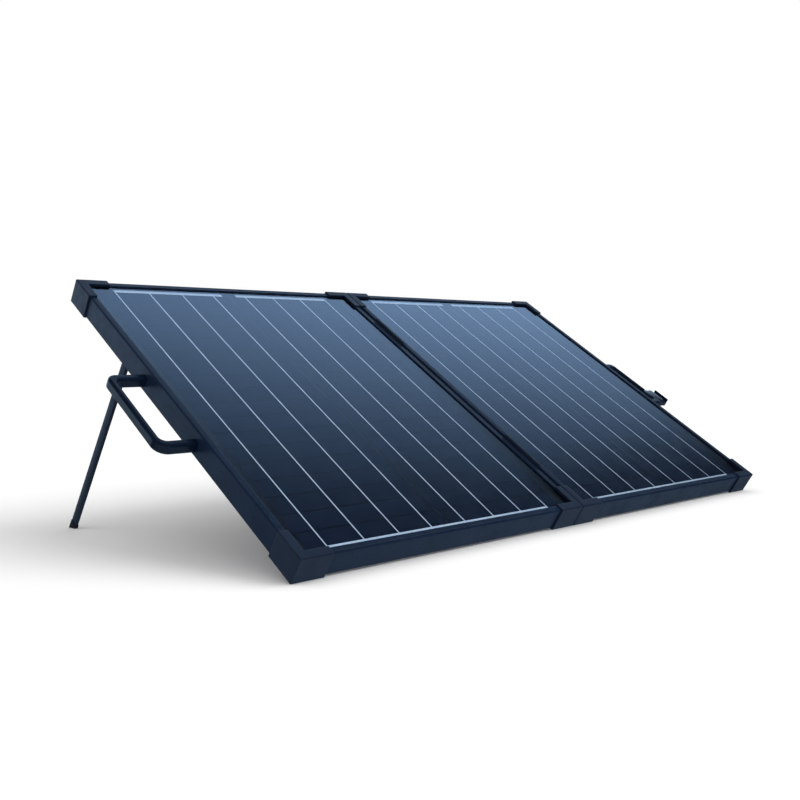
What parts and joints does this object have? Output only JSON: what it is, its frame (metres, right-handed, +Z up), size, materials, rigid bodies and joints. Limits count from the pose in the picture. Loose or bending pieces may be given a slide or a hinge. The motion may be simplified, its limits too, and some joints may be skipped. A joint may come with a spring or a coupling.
{
  "type": "folding solar panel",
  "caption": "Folding two-half solar panel in an aluminium frame, tilted on two rear legs, with carry handles, corner caps and a handle clip.",
  "frame": {"origin": "on the ground, under the middle of the bounding box of the panel as it stands", "axes": "+X across both halves, +Y from the low front edge towards the rear legs, +Z up"},
  "size_m": [0.8158, 0.413, 0.2572],
  "materials": {
    "frame_aluminium": "satin black anodised",
    "cap_plastic": "fine moulded texture",
    "steel": "plain",
    "seal_rubber": "matte",
    "glass": "clear, tempered",
    "encapsulant": "clear",
    "ribbon_metal": "tinned",
    "cell_silicon": "dark blue-black",
    "backsheet": "matte film",
    "box_plastic": "moulded",
    "handle_plastic": "semi-gloss",
    "leg_metal": "black powder coat",
    "hinge_metal": "black",
    "foot_rubber": "matte"
  },
  "bodies": {
    "left_panel": {"left_backsheet": "backsheet", "left_bracket_rivets": "steel", "left_cable_gland": "box_plastic", "left_cap_front_inner": "cap_plastic", "left_cap_front_outer": "cap_plastic", "left_cap_rear_inner": "cap_plastic", "left_cap_rear_outer": "cap_plastic", "left_cap_screws": "steel", "left_cells": "cell_silicon", "left_corner_keys": "cap_plastic", "left_edge_seal": "seal_rubber", "left_encapsulant": "encapsulant", "left_front_rail": "frame_aluminium", "left_glass": "glass", "left_handle": "handle_plastic", "left_handle_screws": "steel", "left_hinge_leaf_front": "hinge_metal", "left_hinge_leaf_rear": "hinge_metal", "left_hinge_rivets": "steel", "left_inner_rail": "frame_aluminium", "left_junction_box": "box_plastic", "left_junction_lid": "box_plastic", "left_leg_bracket": "leg_metal", "left_leg_pivot": "steel", "left_outer_rail": "frame_aluminium", "left_rear_rail": "frame_aluminium", "left_ribbons": "ribbon_metal", "hinge_pins": "steel"},
    "right_panel": {"right_backsheet": "backsheet", "right_bracket_rivets": "steel", "right_cable_gland": "box_plastic", "right_cap_front_inner": "cap_plastic", "right_cap_front_outer": "cap_plastic", "right_cap_rear_inner": "cap_plastic", "right_cap_rear_outer": "cap_plastic", "right_cap_screws": "steel", "right_cells": "cell_silicon", "right_corner_keys": "cap_plastic", "right_edge_seal": "seal_rubber", "right_encapsulant": "encapsulant", "right_front_rail": "frame_aluminium", "right_glass": "glass", "right_handle": "handle_plastic", "right_handle_screws": "steel", "right_hinge_leaf_front": "hinge_metal", "right_hinge_leaf_rear": "hinge_metal", "right_hinge_rivets": "steel", "right_inner_rail": "frame_aluminium", "right_junction_box": "box_plastic", "right_junction_lid": "box_plastic", "right_leg_bracket": "leg_metal", "right_leg_pivot": "steel", "right_outer_rail": "frame_aluminium", "right_rear_rail": "frame_aluminium", "right_ribbons": "ribbon_metal"},
    "left_leg": {"left_leg": "leg_metal", "left_leg_foot": "foot_rubber"},
    "right_leg": {"right_leg": "leg_metal", "right_leg_foot": "foot_rubber"},
    "handle_clip": {"handle_clip": "handle_plastic"}
  },
  "joints": [
    {"name": "panel_fold", "type": "hinge", "parent": "left_panel", "child": "right_panel", "pos_m": [-0.01738, -0.02886, 0.13937], "axis": [0, -0.8329, -0.5534], "range_deg": [0, 180]},
    {"name": "left_leg_fold", "type": "hinge", "parent": "left_panel", "child": "left_leg", "pos_m": [-0.35968, 0.06562, 0.18509], "axis": [-1, 0, 0], "range_deg": [0, 92.4]},
    {"name": "right_leg_fold", "type": "hinge", "parent": "right_panel", "child": "right_leg", "pos_m": [0.32493, 0.06562, 0.18509], "axis": [-1, 0, 0], "range_deg": [0, 92.4]},
    {"name": "handle_clip_swing", "type": "hinge", "parent": "right_panel", "child": "handle_clip", "pos_m": [0.36988, -0.03613, 0.11599], "axis": [0, -0.8329, -0.5534], "range_deg": [0, 90]}
  ]
}
